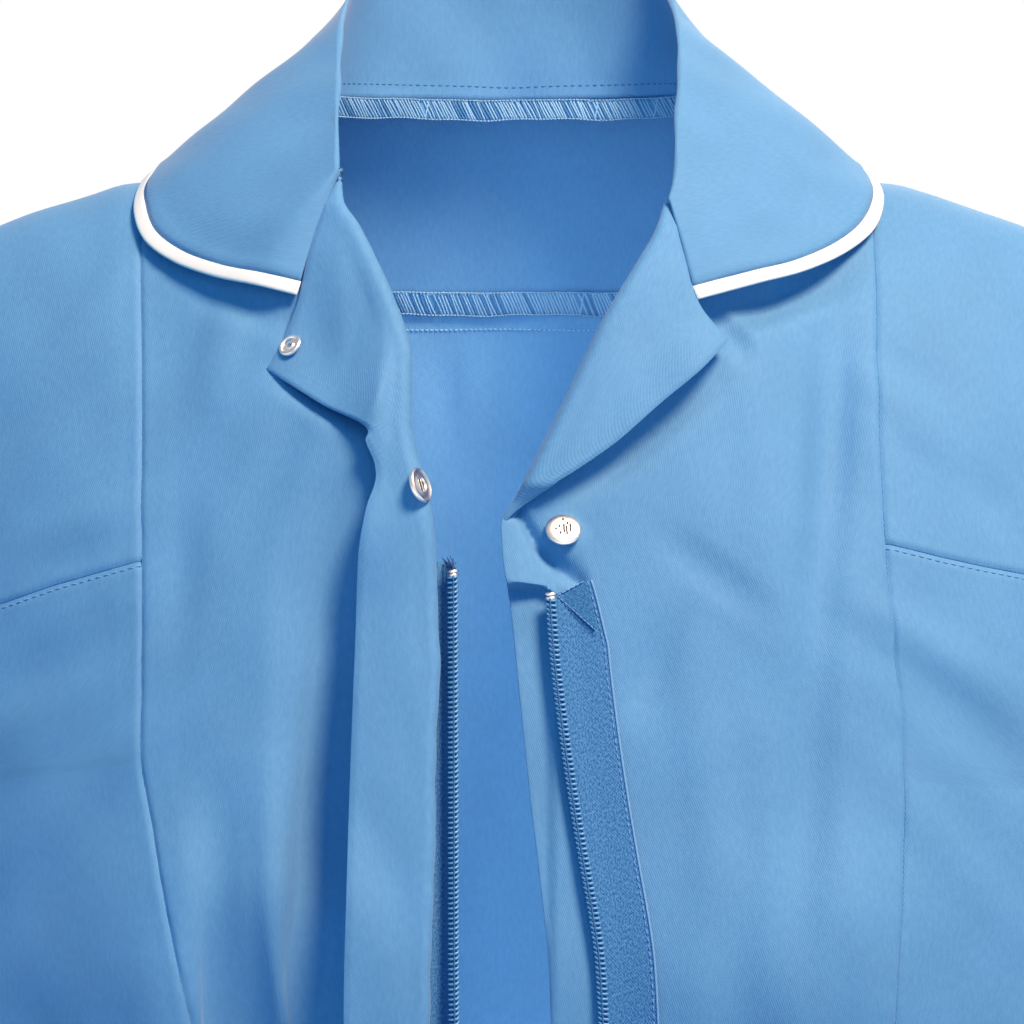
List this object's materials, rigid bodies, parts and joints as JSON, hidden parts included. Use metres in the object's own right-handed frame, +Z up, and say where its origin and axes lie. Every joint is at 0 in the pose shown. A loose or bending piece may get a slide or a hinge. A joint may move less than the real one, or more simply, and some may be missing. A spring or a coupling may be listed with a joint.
{
  "type": "zip-front tunic",
  "caption": "Worn-form short-sleeved work tunic with a piped round collar, turned-out lapels, princess seams and a front zip undone to the waist.",
  "frame": {"origin": "the nape, on the garment's middle line at the height of the back neck seam, where the wearer holds the tunic up", "axes": "+Z up along the length of the tunic, -Y towards the wearer's front, +X towards the wearer's left"},
  "size_m": [0.6406, 0.2445, 0.7441],
  "materials": {
    "tunic_cloth": "matt twill of polyester and cotton, hospital blue",
    "piping": "white flat piping",
    "zip_tape": "herringbone zip tape, mid blue",
    "zip_coil": "nylon coil, mid blue",
    "metal": "nickel-plated, satin"
  },
  "bodies": {
    "root": {"front_centre_right": "tunic_cloth", "front_centre_left": "tunic_cloth", "front_yoke_right": "tunic_cloth", "front_yoke_left": "tunic_cloth", "front_side_right": "tunic_cloth", "front_side_left": "tunic_cloth", "back_yoke": "tunic_cloth", "back_panel": "tunic_cloth", "lapel_and_fly_right": "tunic_cloth", "lapel_left": "tunic_cloth", "sleeve_right": "tunic_cloth", "sleeve_left": "tunic_cloth", "collar": "tunic_cloth", "collar_piping": "piping", "zip_tape_right": "zip_tape", "zip_tape_left": "zip_tape", "zip_coil_right": "zip_coil", "zip_coil_left": "zip_coil", "zip_stop_right": "metal", "zip_stop_left": "metal", "zip_foot_box": "metal", "slider": "metal", "stud_ring_lapel": "metal", "stud_socket_fold": "metal", "stud_cap_left": "metal"},
    "pull_tab": {"pull_tab": "metal"}
  },
  "joints": [
    {"name": "pull_tab_hinge", "type": "hinge", "parent": "root", "child": "pull_tab", "pos_m": [0, -0.1107, -0.46], "axis": [-1, 0, 0], "range_deg": [0, 160]}
  ]
}
